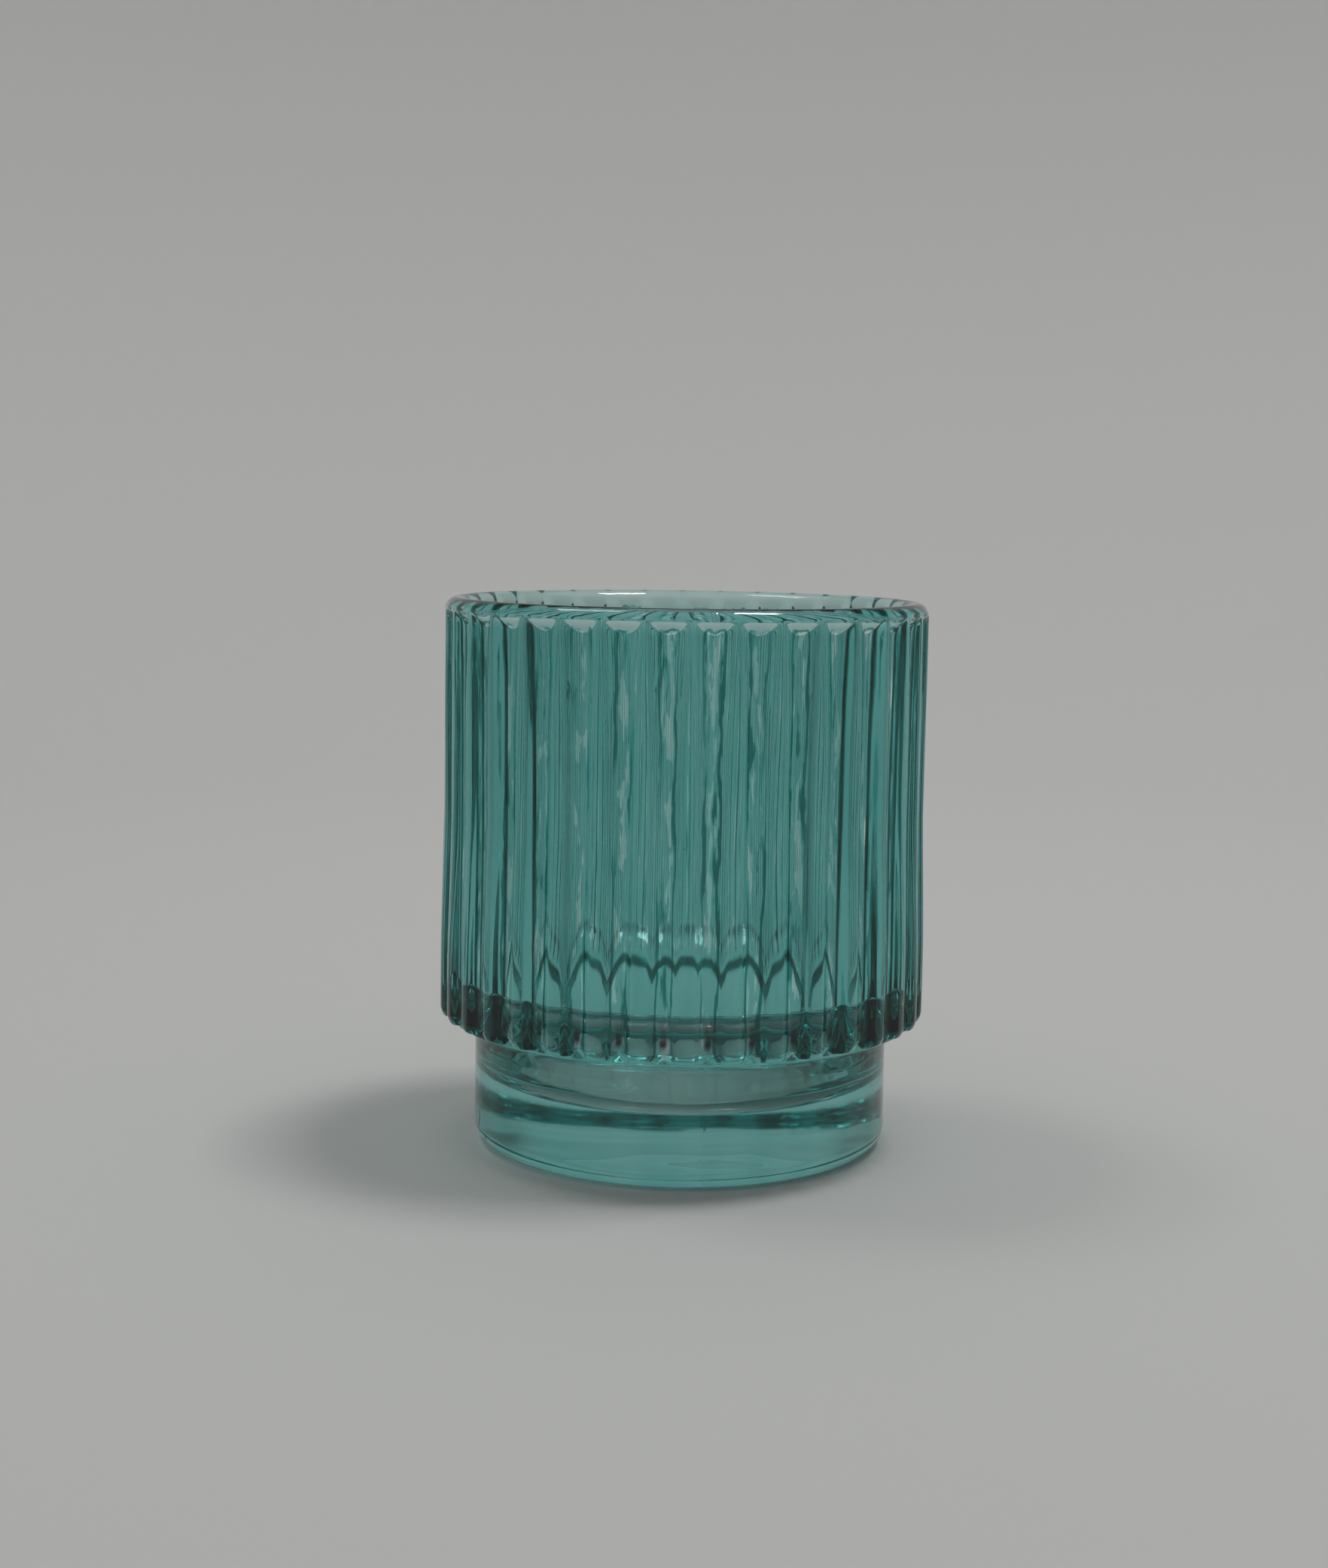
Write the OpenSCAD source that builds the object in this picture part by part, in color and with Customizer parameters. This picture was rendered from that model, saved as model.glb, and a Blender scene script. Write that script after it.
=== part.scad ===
// Ribbed glass vase: one piece of pressed glass with 36 convex ribs, a wide smooth
// mouth, an inner ledge with a well under it, and a narrower foot.
// Units are millimetres. The origin is the centre of the resting ring and +Z is up.

/* [Body] */
// Height from the table to the rim
body_h = 80; // [70:1:110]
// Diameter of the rim
rim_d = 70.4; // [70:0.2:76]
// Diameter over the ribs just above the shoulder
low_d = 71.6; // [70:0.2:76]
// Thickness of the wall at the rim
wall_t = 3.8; // [3.4:0.1:6]
// Rounding of the rim
rim_round = 1.7; // [0.8:0.1:1.7]

/* [Ribs] */
// Number of ribs round the body
rib_n = 36; // [30:2:40]
// Depth of the groove between two ribs, above the shoulder
rib_depth = 1.2; // [1:0.1:1.8]
// Width of the flat along the crest of each rib
crest_w = 1; // [0.6:0.1:1.4]
// Rounding of the shoulder, where the ribs roll under
shoulder_round = 3; // [1.5:0.1:4]
// Plain band between the rim and the top ends of the grooves
plain_band = 2; // [2:0.1:5]
// How far the plain band stands out from the crests of the ribs
band_step = 0.1; // [0.05:0.05:0.3]
// Height of the slope that closes each groove under the plain band
groove_run_out = 1.6; // [1:0.1:4]

/* [Foot] */
// Diameter of the foot
foot_d = 61; // [56:0.5:62]
// Height of the foot, up to the shoulder
foot_h = 18.4; // [16:0.2:22]
// Rounding of the bottom edge
foot_round = 3; // [1:0.1:4]
// Width of the flat ring that the glass rests on
rest_w = 2; // [1:0.1:3]
// Rise of the underside at its centre
dish_h = 1.2; // [0.4:0.1:2]

/* [Inside] */
// Height of the inner ledge above the table, where it meets the wall
ledge_z = 24.9; // [24.5:0.2:32]
// Slope of the ledge at the wall, in degrees
ledge_slope = 25; // [15:1:35]
// Diameter of the well under the ledge
well_d = 51; // [44:0.2:51]
// Thickness of the glass under the well
floor_t = 9.3; // [5:0.1:10]
// Rounding where the well meets its floor
floor_round = 5; // [2:0.5:6]
// Largest rounding that turns the ledge down into the well
lip_round = 8.5; // [4:0.1:8.5]

/* [Hidden] */
$fn = 96;

glass_color = [0.24, 0.6, 0.58, 0.6];

rim_r = rim_d / 2;
low_r = low_d / 2;
foot_r = foot_d / 2;
rest_r = foot_r - foot_round;
dish_r = rest_r - rest_w;
bore_r = rim_r - wall_t;
bore_low_r = bore_r - 0.6;
well_r = well_d / 2;
well_low_r = well_r - 0.8;
corner_round = 0.6;
lip_room = (bore_low_r - well_r) / (1 - sin(ledge_slope)) - corner_round;
lip_r = min(lip_round, lip_room);
mouth_round = wall_t - rim_round;
groove_top_z = body_h - plain_band;
overlap = 0.5;

// Each rib is a round bar, whose arc is one pitch wide and one groove deep. The bars are
// upright, and the taper of the body trims their crests.
half_pitch = PI * low_r / rib_n;
rib_r = (half_pitch * half_pitch + rib_depth * rib_depth) / (2 * rib_depth);
crest_trim = crest_w * crest_w / (8 * rib_r);

// Points along an arc in the half-profile plane.
function arc(centre, r, from, to, steps = 6) = [
    for (i = [0 : steps])
        let (a = from + (to - from) * i / steps)
            centre + r * [cos(a), sin(a)]
];

// Centre, at radius x, of an arc of radius r that touches the slope of the ledge. A
// negative r puts it under the slope.
function ledge_centre(x, r) = [
    x,
    ledge_z - (bore_low_r - x) * tan(ledge_slope) + r / cos(ledge_slope)
];

module rib() {
    translate([low_r + crest_trim - rib_r, 0, foot_h - overlap])
        cylinder(r = rib_r, h = body_h - foot_h);
}

module ribs() {
    for (i = [0 : rib_n - 1])
        rotate(i * 360 / rib_n)
            rib();
}

// Half-profile that trims the ribs to the rolled shoulder and the taper. It ends inside
// the plain band.
module envelope_profile() {
    polygon(concat(
        [[0, foot_h]],
        arc([low_r - shoulder_round, foot_h + shoulder_round], shoulder_round, -90, 0),
        [[rim_r - band_step, groove_top_z + overlap], [0, groove_top_z + overlap]]
    ));
}

// Half-profile of the plain band, whose lower slope closes the grooves.
module band_profile() {
    polygon(concat(
        [[0, groove_top_z - groove_run_out]],
        [[rim_r - rib_depth, groove_top_z - groove_run_out], [rim_r, groove_top_z]],
        arc([rim_r - rim_round, body_h - rim_round], rim_round, 0, 90),
        [[0, body_h]]
    ));
}

// Half-profile of the foot, with the dished underside and the flat resting ring.
module foot_profile() {
    polygon(concat(
        [[0, ledge_z], [0, dish_h], [dish_r / 2, dish_h * 3 / 4], [dish_r, 0]],
        arc([rest_r, foot_round], foot_round, -90, 0),
        [[foot_r, ledge_z]]
    ));
}

// Half-profile of the inside: the mouth, the bore, the ledge and the well.
module inside_profile() {
    polygon(concat(
        [[0, body_h + 1], [bore_r + mouth_round, body_h + 1]],
        arc([bore_r + mouth_round, body_h - mouth_round], mouth_round, 90, 180),
        arc(ledge_centre(bore_low_r - corner_round, corner_round), corner_round, 0, ledge_slope - 90),
        arc(ledge_centre(well_r + lip_r, -lip_r), lip_r, ledge_slope + 90.5, 180),
        arc([well_low_r - floor_round, floor_t + floor_round], floor_round, 0, -90),
        [[0, floor_t]]
    ));
}

module glass_vase() {
    color(glass_color)
        difference() {
            union() {
                intersection() {
                    ribs();
                    rotate_extrude()
                        envelope_profile();
                }
                rotate_extrude()
                    band_profile();
                rotate_extrude()
                    foot_profile();
            }
            rotate_extrude()
                inside_profile();
        }
}

glass_vase();
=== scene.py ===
"""Ribbed pressed-glass vase: clear glass with a translucent teal coat on its outside.

The glass is one closed skin, swept ring by ring from the middle of the underside, up the
outside, over the rim and down the inside to the middle of the well's floor. Profile sizes
are in millimetres and are turned into metres when the mesh is made.
"""
import math

import bpy
import numpy as np
from mathutils import Matrix, Vector, noise


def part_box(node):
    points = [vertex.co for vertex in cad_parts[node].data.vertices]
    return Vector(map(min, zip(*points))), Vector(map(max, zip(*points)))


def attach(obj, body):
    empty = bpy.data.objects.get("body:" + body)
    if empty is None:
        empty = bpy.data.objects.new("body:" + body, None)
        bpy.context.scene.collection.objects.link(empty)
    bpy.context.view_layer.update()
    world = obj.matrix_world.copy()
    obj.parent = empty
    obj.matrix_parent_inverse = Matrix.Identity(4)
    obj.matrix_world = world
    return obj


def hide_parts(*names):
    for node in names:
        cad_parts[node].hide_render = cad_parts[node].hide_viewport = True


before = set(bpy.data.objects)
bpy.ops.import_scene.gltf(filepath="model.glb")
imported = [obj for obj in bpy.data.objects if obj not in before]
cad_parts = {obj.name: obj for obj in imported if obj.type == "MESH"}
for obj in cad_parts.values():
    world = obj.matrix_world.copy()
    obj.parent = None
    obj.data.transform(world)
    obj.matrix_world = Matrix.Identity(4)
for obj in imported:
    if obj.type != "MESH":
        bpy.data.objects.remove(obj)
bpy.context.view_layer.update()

MM = 0.001
cad_low, cad_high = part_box("glass_vase")
HEIGHT = (cad_high.z - cad_low.z) / MM
SPARE = 0.05                      # how far the skin stays inside the CAD box
LOW_R = (cad_high.x - cad_low.x) / 2 / MM - SPARE

# ---------------------------------------------------------------- sizes, in millimetres
RIBS = 36
RIB_DEPTH = 1.15                  # from the crests to the bottom of the grooves
RIB_ROUND, GROOVE_ROUND = 5.5, 2.2    # radii across a rib and across a groove
GROOVE_FLARE, FLARE_H = 0.9, 12   # how much rounder a groove becomes over its upper end
EDGE_SOFT = 0.15                  # rounding where rib and groove meet
MID_R = LOW_R - 0.5               # crest radius half way up
RIM_R = LOW_R - 0.6               # crest radius at the rim
RIM_OUT = 1.9                     # rounding of the rim on the outside
BARE_RINGS = 3                    # rings of that rounding, at its top, without coat
GROOVE_END_Z = HEIGHT - 3.4       # where the slope that closes a groove starts
GROOVE_TOP_Z = HEIGHT - 1.6       # and where it reaches the rim
WINDOW_SOFT = 0.15                # rounding of the edges of that slope

FOOT_R, FOOT_H = 30.5, 18.4
FOOT_ROUND = 3.2                  # rounding of the bottom edge
FOOT_COVE = 0.8                   # hollow corner under the shoulder
BELLY_TOP_Z, WAIST_Z = FOOT_H + 12, FOOT_H + 30     # the crests draw in between these
TAPER_Z = HEIGHT - 12             # and again from here to the rim
SHOULDER_R, SHOULDER_TOP_Z = 34.2, 19.8     # plain ring that the ribs' ends stand on
SHOULDER_ROUND = 0.6              # rounding of its lower edge
SHOULDER_TUCK, SHOULDER_SOFT = 2.2, 0.12    # how fast it draws in above its top, and its blend
DOME_Z = FOOT_H + 2.3             # below this the ribs dome over
DOME_ROUND, DOME_H = 3.3, 3.0     # size of the dome across a rib and along it
DOME_END = 0.2                    # the dome's curve stops this far short of its own centre line
END_SPOT_Z, END_SPOT_HALF_W, END_SPOT_HALF_H = 21.7, 0.6, 1.1   # near-black spot drawn in each groove's lower end
END_SPOT_EDGE = 1.6                   # how sharp the spot's edge is
DISH_R, DISH_H, REST_W = 25.5, 1.2, 2.0     # hollow underside and the flat ring round it
DENT_H, DENT_W = 0.25, 7.0        # unevenness of the dish

BORE_TOP_R, BORE_LOW_R = 31.4, 30.8
RIM_IN = RIM_R - RIM_OUT - BORE_TOP_R       # rounding of the rim on the inside
LEDGE_Z = 24.9                    # where the bore meets the ledge round the well
LEDGE_SLOPE = math.radians(25)    # of the ledge at the bore, growing steeper inwards
LEDGE_IN, LIP_ROUND = 0.6, 9.0    # roundings at the foot of the bore and into the well
WELL_TOP_R, WELL_LOW_R = 25.6, 24.8
FLOOR_Z, FLOOR_ROUND = 9.3, 4.5

COLUMNS_PER_RIB = 18
CROWD = 1.15                      # above 1, columns crowd towards the grooves
UNEVEN = ((0.10, 6.0, 25.0), (0.02, 2.0, 12.0))    # height, width and length of the swells
FOOT_UNEVEN, RIM_UNEVEN = 0.9, 0.3    # how much of the swells the foot and the rim have
SWELL = 0.07                      # keeps every swell on the inner side of the plain shape
SEAM_AT = (-85, 95)               # azimuths of the mould's two parting lines
SEAM_H = 0.07

HAZY, CLEAR, SMOOTH = 0, 1, 2     # places of the materials on the vase

pitch = 2 * math.pi / RIBS
half_pitch = math.pi * MID_R / RIBS


def columns():
    """Azimuth of each column, and its place across its rib from -1 to 1, crest at 0."""
    t = np.linspace(-1, 1, COLUMNS_PER_RIB, endpoint=False)
    across = np.sign(t) * (1 - (1 - np.abs(t)) ** CROWD)
    azimuth = np.concatenate([(k + across / 2) * pitch for k in range(RIBS)])
    return azimuth, np.tile(across, RIBS)


azimuth, across = columns()
COLUMNS = len(azimuth)
seam = np.zeros(COLUMNS)
for at in SEAM_AT:
    away = np.abs((azimuth - math.radians(at) + math.pi) % (2 * math.pi) - math.pi)
    seam[np.argmin(away)] = SEAM_H


def blend_max(a, b, soft):
    """The larger of a and b, with the corner between them rounded."""
    return 0.5 * (a + b + np.sqrt((a - b) ** 2 + soft * soft))


def arc(r, z, radius, start, end, steps):
    """Points on an arc round (r, z), from one angle to another in degrees."""
    angles = np.radians(np.linspace(start, end, steps))
    return [(r + radius * math.cos(a), z + radius * math.sin(a)) for a in angles]


def line(r0, z0, r1, z1, steps):
    """Points after (r0, z0) up to (r1, z1)."""
    share = np.linspace(0, 1, steps + 1)[1:]
    return [(r0 + (r1 - r0) * s, z0 + (z1 - z0) * s) for s in share]


def crest_r(z):
    """Radius of the rib crests at a height: fullest just above the shoulder."""
    return np.interp(z, [BELLY_TOP_Z, WAIST_Z, TAPER_Z, HEIGHT], [LOW_R, MID_R, MID_R, RIM_R])


def ribbed_r(z):
    """Radius of every column on the ribs at a height, with the domed lower ends."""
    u = np.abs(across) * half_pitch
    below = max(0.0, DOME_Z - z) * DOME_ROUND / DOME_H
    rib = RIB_ROUND - np.sqrt(RIB_ROUND ** 2 - u ** 2)
    chord = DOME_ROUND ** 2 - u ** 2
    dome = np.sqrt(chord) - np.sqrt(np.maximum(chord - below ** 2, DOME_END ** 2))
    round_r = GROOVE_ROUND + GROOVE_FLARE * np.clip((z - GROOVE_END_Z) / FLARE_H + 1, 0, 1)
    groove = RIB_DEPTH - round_r + np.sqrt(np.maximum(round_r ** 2 - (half_pitch - u) ** 2, 0))
    return crest_r(z) - blend_max(rib, groove, EDGE_SOFT) - dome


def wall_r(z):
    """Radius of every column on the outside, from the shoulder to the rim."""
    shoulder = SHOULDER_R - max(0.0, z - SHOULDER_TOP_Z) * SHOULDER_TUCK
    r = blend_max(ribbed_r(z), shoulder, SHOULDER_SOFT)
    if z > GROOVE_END_Z - 1:
        rise = (z - GROOVE_END_Z) / (GROOVE_TOP_Z - GROOVE_END_Z)
        r = blend_max(r, RIM_R + RIB_DEPTH * (rise - 1), WINDOW_SOFT)
    top = max(0.0, z - (HEIGHT - RIM_OUT))
    return np.minimum(r, crest_r(z) - RIM_OUT + math.sqrt(RIM_OUT ** 2 - top ** 2))


def underside():
    """The dish, the flat resting ring and the rounded bottom edge."""
    rings = [(DISH_R * s, DISH_H * math.cos(s * math.pi / 2)) for s in np.linspace(0.08, 1, 12)]
    rings += [(DISH_R + REST_W * 0.5, 0), (FOOT_R - FOOT_ROUND, 0)]
    return rings + arc(FOOT_R - FOOT_ROUND, FOOT_ROUND, FOOT_ROUND, -90, 0, 10)[1:]


def foot_wall():
    """The side of the foot, the hollow corner, and the flat under the shoulder."""
    top = FOOT_H - FOOT_COVE
    rings = line(FOOT_R, FOOT_ROUND, FOOT_R, top, 6)
    rings += arc(FOOT_R + FOOT_COVE, top, FOOT_COVE, 180, 90, 5)[1:]
    edge = SHOULDER_R - SHOULDER_ROUND
    return rings + [(edge, FOOT_H)] + arc(edge, FOOT_H + SHOULDER_ROUND, SHOULDER_ROUND, -90, 0, 6)[1:]


def rib_heights():
    """Heights of the rings on the ribs, closest where the ribs' ends and the grooves' tops curve."""
    low = FOOT_H + SHOULDER_ROUND + 0.15
    return np.concatenate([
        np.linspace(low, DOME_Z, 17),
        np.linspace(DOME_Z + 1, GROOVE_END_Z - 0.5, 17),
        np.linspace(GROOVE_END_Z - 0.2, GROOVE_TOP_Z + 0.3, 12),
    ])


def rim():
    """The outer and the inner rounding of the rim."""
    start = math.degrees(math.asin((RIM_OUT - HEIGHT + GROOVE_TOP_Z + 0.5) / RIM_OUT))
    outside = arc(RIM_R - RIM_OUT, HEIGHT - RIM_OUT, RIM_OUT, start, 90, 9)
    inside = arc(BORE_TOP_R + RIM_IN, HEIGHT - RIM_IN, RIM_IN, 90, 180, 9)[1:]
    return outside, inside


def inside():
    """The bore, the sloping ledge with a rounding at each end, the well and its floor."""
    slope, tilt = math.tan(LEDGE_SLOPE), math.degrees(LEDGE_SLOPE)
    lip_r = WELL_TOP_R + LIP_ROUND
    ledge_r = lip_r - LIP_ROUND * math.sin(LEDGE_SLOPE)
    lip_z = LEDGE_Z - (BORE_LOW_R - ledge_r) * slope - LIP_ROUND * math.cos(LEDGE_SLOPE)
    corner_r = BORE_LOW_R - LEDGE_IN
    corner_z = LEDGE_Z - LEDGE_IN * slope + LEDGE_IN / math.cos(LEDGE_SLOPE)
    r3, z3 = WELL_LOW_R - FLOOR_ROUND, FLOOR_Z + FLOOR_ROUND
    rings = line(BORE_TOP_R, HEIGHT - RIM_IN, BORE_LOW_R, corner_z, 14)
    rings += arc(corner_r, corner_z, LEDGE_IN, 0, tilt - 90, 6)[1:]
    rings += arc(lip_r, lip_z, LIP_ROUND, tilt + 90, 180, 12)[1:]
    rings += line(WELL_TOP_R, lip_z, WELL_LOW_R, z3, 4)
    rings += arc(r3, z3, FLOOR_ROUND, 0, -90, 11)[1:]
    return rings + [(r3 * s, FLOOR_Z) for s in (0.8, 0.6, 0.4, 0.2, 0.07)]


def wobble(r, z, seed):
    """The slight unevenness of pressed glass, as an offset of each point of a ring."""
    total = np.zeros(COLUMNS)
    for size, across_mm, along_mm in UNEVEN:
        places = zip(r * np.cos(azimuth) / across_mm, r * np.sin(azimuth) / across_mm)
        total += [size * noise.noise(Vector((x, y, z / along_mm + seed))) for x, y in places]
    return total


def dents(r):
    """Shallow dents in the dish under the foot, fading out towards its edge."""
    places = zip(r * np.cos(azimuth) / DENT_W, r * np.sin(azimuth) / DENT_W)
    depth = np.array([noise.noise(Vector((x, y, 9.0))) for x, y in places])
    return DENT_H * depth * (1 - (r / DISH_R) ** 2)


def skin():
    """Rings of the whole skin as (radii, height, material above this ring, how uneven)."""
    outside_rim, inside_rim = rim()
    rings = [(r, z, SMOOTH if r > FOOT_R - FOOT_ROUND + 0.01 else CLEAR, 0.0) for r, z in underside()]
    rings += [(r, z, HAZY, FOOT_UNEVEN) for r, z in foot_wall()]
    rings += [(wall_r(z), z, HAZY if z < GROOVE_END_Z else SMOOTH, 1.0) for z in rib_heights()]
    rings += [(r, z, SMOOTH, RIM_UNEVEN) for r, z in outside_rim[:-BARE_RINGS]]
    rings += [(r, z, CLEAR, 0.0) for r, z in outside_rim[-BARE_RINGS:]]
    rings += [(r, z, CLEAR, 0.0) for r, z in inside_rim]
    rings += [(r, z, CLEAR, 1.0) for r, z in inside()]
    return rings


def groove_end_spot(z):
    """How much of the near-black spot in each groove's lower end is there at a height."""
    middle_u = 1 - np.abs(across)
    reach = (middle_u * half_pitch / END_SPOT_HALF_W) ** 2 + ((z - END_SPOT_Z) / END_SPOT_HALF_H) ** 2
    return np.clip(END_SPOT_EDGE * (1 - reach), 0, 1)


def vase_mesh():
    """The closed skin, with how deep in a groove each point lies and how much of the near-black
    groove-end spot it has.
    """
    rings = skin()
    corners, groove, end_spot_layer, materials = [], [], [], []
    for r, z, material, uneven in rings:
        r = np.full(COLUMNS, r) if np.isscalar(r) else r
        coat = material != CLEAR
        if coat:
            r = r + seam
        if uneven:
            r = r - uneven * (SWELL + wobble(r, z, 0.0 if coat else 50.0))
        ribbed = coat and SHOULDER_TOP_Z - 0.4 < z < GROOVE_TOP_Z
        in_groove = np.clip((crest_r(z) - r) / RIB_DEPTH, 0, 1) if ribbed else np.zeros(COLUMNS)
        groove.append(in_groove)
        # how much of the near-black groove-end spot each point has
        end_spot_layer.append(groove_end_spot(z) * in_groove)
        level = z + dents(r) if z <= DISH_H and r[0] < DISH_R else np.full(COLUMNS, z)
        corners.append(np.stack([r * np.cos(azimuth), r * np.sin(azimuth), level], -1))
        materials.append(material)
    faces = []
    for ring in range(len(rings) - 1):
        a, b = ring * COLUMNS, (ring + 1) * COLUMNS
        for j in range(COLUMNS):
            k = (j + 1) % COLUMNS
            faces.append((a + j, a + k, b + k, b + j))
    last = (len(rings) - 1) * COLUMNS
    faces.append(tuple(range(COLUMNS - 1, -1, -1)))
    faces.append(tuple(range(last, last + COLUMNS)))
    mesh = bpy.data.meshes.new("glass_vase_skin")
    mesh.from_pydata((np.concatenate(corners) * MM).tolist(), [], faces)
    slots = np.repeat(materials[:-1], COLUMNS).tolist() + [CLEAR, CLEAR]
    mesh.polygons.foreach_set("material_index", slots)
    for name, layer in (("groove", groove), ("end_spot_layer", end_spot_layer)):
        mesh.attributes.new(name, "FLOAT", "POINT").data.foreach_set("value", np.concatenate(layer))
    mesh.shade_smooth()
    mesh.update()
    return mesh


# ---------------------------------------------------------------- materials
GLASS_IOR = 1.52
GLASS_TINT = (0.98, 1.0, 0.99)
COAT_WEAR_AND_SHEEN = 0.85                  # share of the coat missing in patches along the groove bottoms: partly wear, partly painted sheen
EDGE_SHADE_LAYERS = 2.6                  # painted shade: extra layers of coat in dark lines along both sides of a groove
COAT_FOOT_THIN_AND_LIT, COAT_RIM = 0.75, 0.45  # how thick the coat is there, against the ribs; the foot's thinner coat is partly painted light
COAT_SPECKS = 3.0                 # extra layers of coat in the specks
STREAK_SIZE, WEAR_AND_SHEEN_SIZE = (5.0, 30.0), (1.5, 9.0)    # width and height of blots, in mm
WAVER_SIZE, EDGE_SHADE_SIZE, SPECK_SIZE = (1.0, 8.0), (2.5, 22.0), (0.5, 0.6)
NOISE_SPAN = (0.3, 0.7)           # most of the noise lies between these
WEAR_AND_SHEEN_WHERE, EDGE_SHADE_WHERE = (0.51, 0.54), (0.38, 0.58)     # how strong the noise is where these are
SPECK_WHERE = (0.80, 0.86)
STREAK_LAYERS = (0.85, 1.05)      # layers of coat in the thin and in the thick streaks
BARE_FROM = (0.96, 1.0)           # the bare patches of wear and painted sheen start here, as a share of a groove's depth
EDGE_SHADE_FROM, EDGE_SHADE_TO = (0.70, 0.75), (0.87, 0.92)     # and the dark lines of painted shade start and end here
WAVER = 0.12                      # how far those edges stray, as a share of the same depth
END_SPOT_COLOUR = (0.02, 0.012, 0.012)    # what passes through the near-black spots drawn in the grooves' lower ends
COAT_HAZE = 0.09                  # blur in the coat, but not on the bottom edge or above the grooves
COAT_TINT = (0.35, 0.71, 0.695)   # what one pass through the coat lets through
RIPPLE_W, RIPPLE_H = 5.0, 0.02    # faint ripple in the glass without a coat, in mm


def new_material(name):
    """An empty node material, its tree and its output node."""
    material = bpy.data.materials.new(name)
    material.use_nodes = True
    tree = material.node_tree
    tree.nodes.clear()
    return material, tree, tree.nodes.new("ShaderNodeOutputMaterial")


def value(tree, operation, *inputs):
    """A Math node on numbers and sockets."""
    maths = tree.nodes.new("ShaderNodeMath")
    maths.operation = operation
    for socket, given in zip(maths.inputs, inputs):
        if isinstance(given, (int, float)):
            socket.default_value = given
        else:
            tree.links.new(given, socket)
    return maths.outputs["Value"]


def ramp(tree, source, span, result):
    """A smooth change between the two results as source goes through the span."""
    mapped = tree.nodes.new("ShaderNodeMapRange")
    mapped.interpolation_type = "SMOOTHSTEP"
    for name, given in zip(("From Min", "From Max", "To Min", "To Max"), (*span, *result)):
        mapped.inputs[name].default_value = given
    tree.links.new(source, mapped.inputs["Value"])
    return mapped.outputs["Result"]


def blend(tree, share, colour_a, colour_b):
    """A Mix node from colour a to colour b. A colour is three numbers or a socket."""
    mixed = tree.nodes.new("ShaderNodeMix")
    mixed.data_type = "RGBA"
    tree.links.new(share, mixed.inputs["Factor"])
    for name, given in (("A", colour_a), ("B", colour_b)):
        if isinstance(given, tuple):
            mixed.inputs[name].default_value = (*given, 1)
        else:
            tree.links.new(given, mixed.inputs[name])
    return mixed.outputs["Result"]


def cloud(tree, place, size, detail, seed):
    """Noise whose blots are this wide and this tall, in mm."""
    across_mm, along_mm = size
    stretch = tree.nodes.new("ShaderNodeMapping")
    stretch.inputs["Scale"].default_value = (1 / across_mm / MM, 1 / across_mm / MM, 1 / along_mm / MM)
    stretch.inputs["Location"].default_value = (seed, seed, seed)
    tree.links.new(place.outputs["Object"], stretch.inputs["Vector"])
    blots = tree.nodes.new("ShaderNodeTexNoise")
    blots.inputs["Scale"].default_value = 1
    blots.inputs["Detail"].default_value = detail
    tree.links.new(stretch.outputs["Vector"], blots.inputs["Vector"])
    return blots.outputs["Fac"]


def painted(tree, name):
    """A value stored in the mesh."""
    layer = tree.nodes.new("ShaderNodeAttribute")
    layer.attribute_name = name
    return layer.outputs["Fac"]


def coat_thickness(tree, place):
    """Layers of coat at each point: streaky, bare in patches along the groove bottoms that are partly
    wear and partly painted sheen, thick in dark lines of painted shade beside those and in specks,
    and thin on the foot (partly painted light) and on the rim."""
    streaks = ramp(tree, cloud(tree, place, STREAK_SIZE, 2, 0), NOISE_SPAN, STREAK_LAYERS)
    wear_and_sheen = ramp(tree, cloud(tree, place, WEAR_AND_SHEEN_SIZE, 4, 7), WEAR_AND_SHEEN_WHERE, (0, 1))
    waver = ramp(tree, cloud(tree, place, WAVER_SIZE, 3, 11), NOISE_SPAN, (-WAVER, WAVER))
    depth = value(tree, "ADD", painted(tree, "groove"), waver)
    # bare coat along the groove bottoms: partly wear, partly a painted sheen for the silvery streaks
    bare = value(tree, "MULTIPLY", ramp(tree, depth, BARE_FROM, (0, 1)), wear_and_sheen)
    outer = ramp(tree, depth, EDGE_SHADE_FROM, (0, 1))
    inner = ramp(tree, depth, EDGE_SHADE_TO, (1, 0))
    # painted shade: dark lines of extra coat along both sides of each groove
    broken = ramp(tree, cloud(tree, place, EDGE_SHADE_SIZE, 2, 5), EDGE_SHADE_WHERE, (0, EDGE_SHADE_LAYERS))
    edge_shade = value(tree, "MULTIPLY", value(tree, "MULTIPLY", outer, inner), broken)
    specks = ramp(tree, cloud(tree, place, SPECK_SIZE, 1, 3), SPECK_WHERE, (0, COAT_SPECKS))
    kept = value(tree, "SUBTRACT", 1, value(tree, "MULTIPLY", bare, COAT_WEAR_AND_SHEEN))
    thin = value(tree, "MULTIPLY", streaks, kept)
    drawn = value(tree, "ADD", value(tree, "ADD", thin, edge_shade), specks)
    parts = tree.nodes.new("ShaderNodeSeparateXYZ")
    tree.links.new(place.outputs["Object"], parts.inputs["Vector"])
    corner = ((FOOT_H - 1) * MM, FOOT_H * MM)
    slope = ((GROOVE_END_Z - 0.5) * MM, GROOVE_TOP_Z * MM)
    # partly painted light: a thinner coat lightens the foot, standing in for light that reaches the
    # cloth beneath it
    foot_thin_and_lit = ramp(tree, parts.outputs["Z"], corner, (COAT_FOOT_THIN_AND_LIT, 1))
    on_rim = ramp(tree, parts.outputs["Z"], slope, (1, COAT_RIM))
    return value(tree, "MULTIPLY", drawn, value(tree, "MULTIPLY", foot_thin_and_lit, on_rim))


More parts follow.
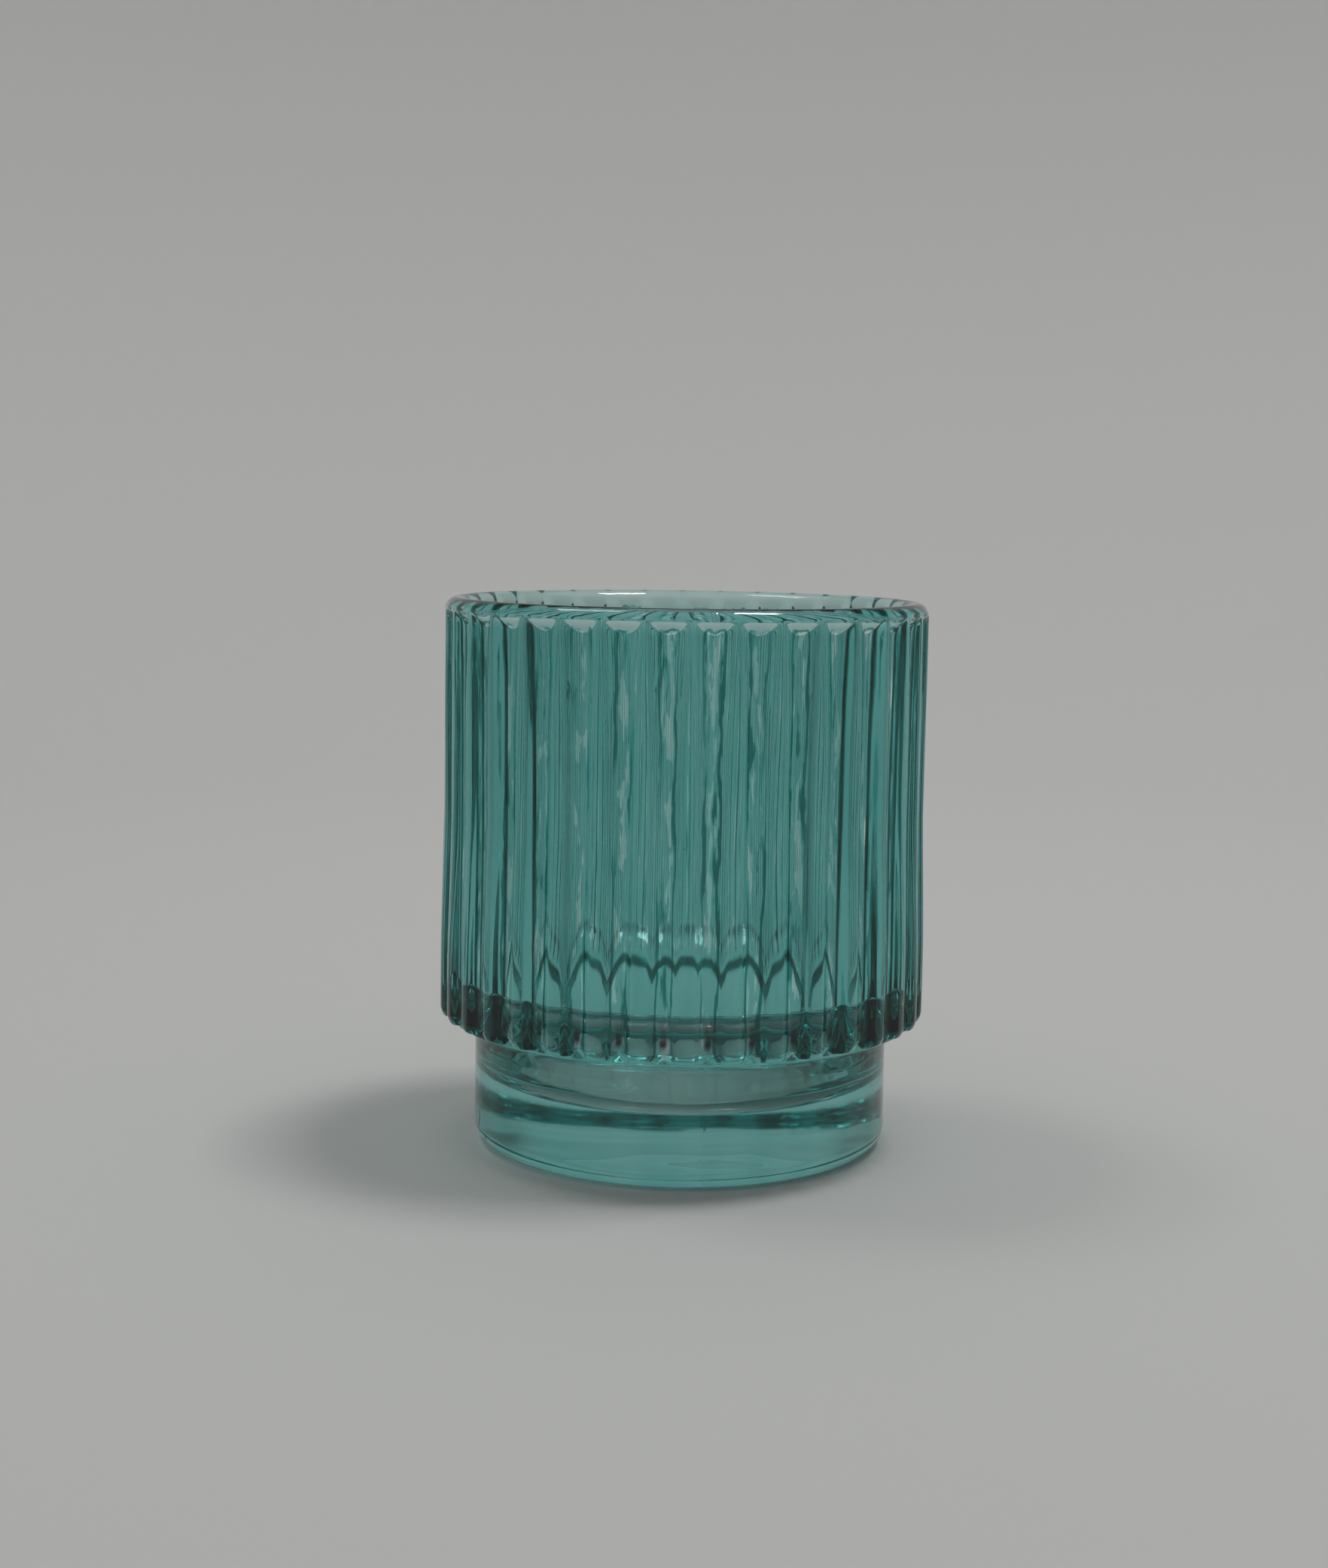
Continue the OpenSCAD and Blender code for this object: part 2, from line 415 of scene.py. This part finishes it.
def teal_coat(name, haze):
    """Glass seen through the coat: light going in or out is tinted once, and light turned
    back inside the glass crosses the coat twice."""
    material, tree, out = new_material(name)
    node, link = tree.nodes.new, tree.links.new
    thickness = coat_thickness(tree, node("ShaderNodeTexCoord"))

    def passing(layers):
        """Colour of light that has gone through the coat once or twice."""
        tint = node("ShaderNodeGamma")
        tint.inputs["Color"].default_value = (*COAT_TINT, 1)
        link(value(tree, "MULTIPLY", thickness, layers), tint.inputs["Gamma"])
        # near-black spot drawn in each groove's lower end
        return blend(tree, painted(tree, "end_spot_layer"), tint.outputs["Color"], END_SPOT_COLOUR)

    side = node("ShaderNodeNewGeometry")
    through = node("ShaderNodeBsdfRefraction")
    through.inputs["IOR"].default_value = GLASS_IOR
    through.inputs["Roughness"].default_value = haze
    link(passing(1), through.inputs["Color"])
    mirrored = node("ShaderNodeBsdfGlossy")
    mirrored.inputs["Roughness"].default_value = 0
    turned_back = blend(tree, side.outputs["Backfacing"], (1, 1, 1), passing(2))
    link(turned_back, mirrored.inputs["Color"])
    angle = node("ShaderNodeFresnel")
    angle.inputs["IOR"].default_value = GLASS_IOR
    mix = node("ShaderNodeMixShader")
    link(angle.outputs["Fac"], mix.inputs["Fac"])
    link(through.outputs["BSDF"], mix.inputs[1])
    link(mirrored.outputs["BSDF"], mix.inputs[2])
    link(mix.outputs["Shader"], out.inputs["Surface"])
    return material


def clear_glass():
    """Glass without a coat, with a faint ripple."""
    material, tree, out = new_material("clear_glass")
    glass = tree.nodes.new("ShaderNodeBsdfPrincipled")
    glass.inputs["Base Color"].default_value = (*GLASS_TINT, 1)
    glass.inputs["Transmission Weight"].default_value = 1
    glass.inputs["IOR"].default_value = GLASS_IOR
    glass.inputs["Roughness"].default_value = 0
    place = tree.nodes.new("ShaderNodeTexCoord")
    ripple = tree.nodes.new("ShaderNodeTexNoise")
    ripple.inputs["Scale"].default_value = 1 / (RIPPLE_W * MM)
    ripple.inputs["Detail"].default_value = 1
    tree.links.new(place.outputs["Object"], ripple.inputs["Vector"])
    bump = tree.nodes.new("ShaderNodeBump")
    bump.inputs["Distance"].default_value = RIPPLE_H * MM
    tree.links.new(ripple.outputs["Fac"], bump.inputs["Height"])
    tree.links.new(bump.outputs["Normal"], glass.inputs["Normal"])
    tree.links.new(glass.outputs["BSDF"], out.inputs["Surface"])
    return material


# ---------------------------------------------------------------- the vase
vase = bpy.data.objects.new("glass_vase_skin", vase_mesh())
bpy.context.scene.collection.objects.link(vase)
vase.data.materials.append(teal_coat("teal_coat_hazy", COAT_HAZE))
vase.data.materials.append(clear_glass())
vase.data.materials.append(teal_coat("teal_coat_smooth", 0.0))
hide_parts("glass_vase")
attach(vase, "root")

# ---------------------------------------------------------------- stage, in metres
STAGE_FLAT_R, STAGE_BEND, STAGE_H = 0.45, 0.35, 1.0
STAGE_SIDES = 96
STAGE_CLEAR = 0.02 * MM           # how far the floor lies under the resting ring
STAGE_DIM = (0.5, 0.65)           # painted shade: the wall turns dark between these heights
# pale cloth, and the dark colour of the painted shade round the sides, in front and up high
STAGE_PALE, STAGE_DARK = (0.63, 0.635, 0.62), (0.1, 0.09, 0.075)
STAGE_DARK_AT, STAGE_PALE_AT = -0.2, 0.35     # how far behind the vase, less how far aside
STAGE_DARK_ABOVE = 0.02           # how high up the wall the shading starts to show


def stage_cloth_and_shade():
    """Pale cloth on the floor and behind the vase, with painted shade: darker round the sides, in front
    and high up the wall.
    """
    material, tree, out = new_material("stage_cloth_and_shade")
    place = tree.nodes.new("ShaderNodeTexCoord")
    parts = tree.nodes.new("ShaderNodeSeparateXYZ")
    tree.links.new(place.outputs["Object"], parts.inputs["Vector"])
    aside = value(tree, "ABSOLUTE", parts.outputs["X"])
    behind = value(tree, "SUBTRACT", parts.outputs["Y"], aside)
    low = value(tree, "SUBTRACT", STAGE_PALE_AT + STAGE_DARK_ABOVE, parts.outputs["Z"])
    nearest = value(tree, "MAXIMUM", behind, low)
    high = ramp(tree, parts.outputs["Z"], STAGE_DIM, (0, -1))
    shown = ramp(tree, value(tree, "ADD", nearest, high), (STAGE_DARK_AT, STAGE_PALE_AT), (0, 1))
    cloth = tree.nodes.new("ShaderNodeBsdfPrincipled")
    cloth.inputs["Roughness"].default_value = 0.9
    # painted shade: the cloth's colour goes dark round the sides, in front and high up the wall
    tree.links.new(blend(tree, shown, STAGE_DARK, STAGE_PALE), cloth.inputs["Base Color"])
    tree.links.new(cloth.outputs["BSDF"], out.inputs["Surface"])
    return material


def stage_mesh():
    """A round floor that bends up into a wall all round."""
    profile = [(STAGE_FLAT_R, 0.0)]
    profile += arc(STAGE_FLAT_R, STAGE_BEND, STAGE_BEND, -90, 0, 16)[1:]
    profile += [(STAGE_FLAT_R + STAGE_BEND, STAGE_H)]
    turn = [2 * math.pi * k / STAGE_SIDES for k in range(STAGE_SIDES)]
    points = [(r * math.cos(a), r * math.sin(a), z) for r, z in profile for a in turn]
    faces = [tuple(range(STAGE_SIDES))]
    for ring in range(len(profile) - 1):
        a, b = ring * STAGE_SIDES, (ring + 1) * STAGE_SIDES
        for j in range(STAGE_SIDES):
            k = (j + 1) % STAGE_SIDES
            faces.append((a + k, a + j, b + j, b + k))
    mesh = bpy.data.meshes.new("stage")
    mesh.from_pydata(points, [], faces)
    mesh.shade_smooth()
    mesh.materials.append(stage_cloth_and_shade())
    return mesh


stage = bpy.data.objects.new("stage", stage_mesh())
stage.location.z = -STAGE_CLEAR
bpy.context.scene.collection.objects.link(stage)


# ---------------------------------------------------------------- light
def softbox(name, place, aim, width, watts):
    """A square area light, in metres."""
    light = bpy.data.lights.new(name, "AREA")
    light.size = width
    light.energy = watts
    lamp = bpy.data.objects.new(name, light)
    lamp.location = place
    lamp.rotation_euler = (Vector(aim) - Vector(place)).to_track_quat("-Z", "Y").to_euler()
    bpy.context.scene.collection.objects.link(lamp)


MIDDLE = (0, 0, 0.05)
softbox("key", (0.38, 0.05, 1.3), MIDDLE, 0.28, 5.1)
softbox("fill", (-0.46, 0.22, 1.2), MIDDLE, 0.35, 1.7)

ROOM_COLOUR, ROOM_STRENGTH = (0.95, 0.97, 1.0), 0.55
world = bpy.data.worlds.new("soft_room")
world.use_nodes = True
world.node_tree.nodes["Background"].inputs["Color"].default_value = (*ROOM_COLOUR, 1)
world.node_tree.nodes["Background"].inputs["Strength"].default_value = ROOM_STRENGTH
bpy.context.scene.world = world

# ---------------------------------------------------------------- camera, in metres
CAMERA_AWAY, CAMERA_UP = 0.330, 0.093
FOCAL_LENGTH, SENSOR_W = 51.85, 36        # in mm
CAMERA_AZIMUTH = math.radians(-1.25)      # from -Y towards +X, seen from the vase
LOOK_DOWN = math.radians(6.96)
LOOK_TURN = math.radians(0.74)
ROLL = math.radians(0.86)
ahead = Vector((math.sin(LOOK_TURN) * math.cos(LOOK_DOWN),
                math.cos(LOOK_TURN) * math.cos(LOOK_DOWN), -math.sin(LOOK_DOWN)))
level = Vector((math.cos(LOOK_TURN), -math.sin(LOOK_TURN), 0))
above = level.cross(ahead)
right = level * math.cos(ROLL) + above * math.sin(ROLL)
up = above * math.cos(ROLL) - level * math.sin(ROLL)
camera = bpy.data.objects.new("camera", bpy.data.cameras.new("camera"))
camera.data.sensor_width = SENSOR_W
camera.data.lens = FOCAL_LENGTH
camera.data.clip_start = 0.01
at = Vector((CAMERA_AWAY * math.sin(CAMERA_AZIMUTH), -CAMERA_AWAY * math.cos(CAMERA_AZIMUTH), CAMERA_UP))
camera.matrix_world = Matrix.Translation(at) @ Matrix((right, up, -ahead)).transposed().to_4x4()
bpy.context.scene.collection.objects.link(camera)
bpy.context.scene.camera = camera

# Light crosses the ribbed glass many times on its way.
GLASS_BOUNCES, GLOSSY_BOUNCES = 24, 16
bpy.context.scene.cycles.max_bounces = GLASS_BOUNCES
bpy.context.scene.cycles.transmission_bounces = GLASS_BOUNCES
bpy.context.scene.cycles.glossy_bounces = GLOSSY_BOUNCES
bpy.context.scene.view_settings.view_transform = "Standard"
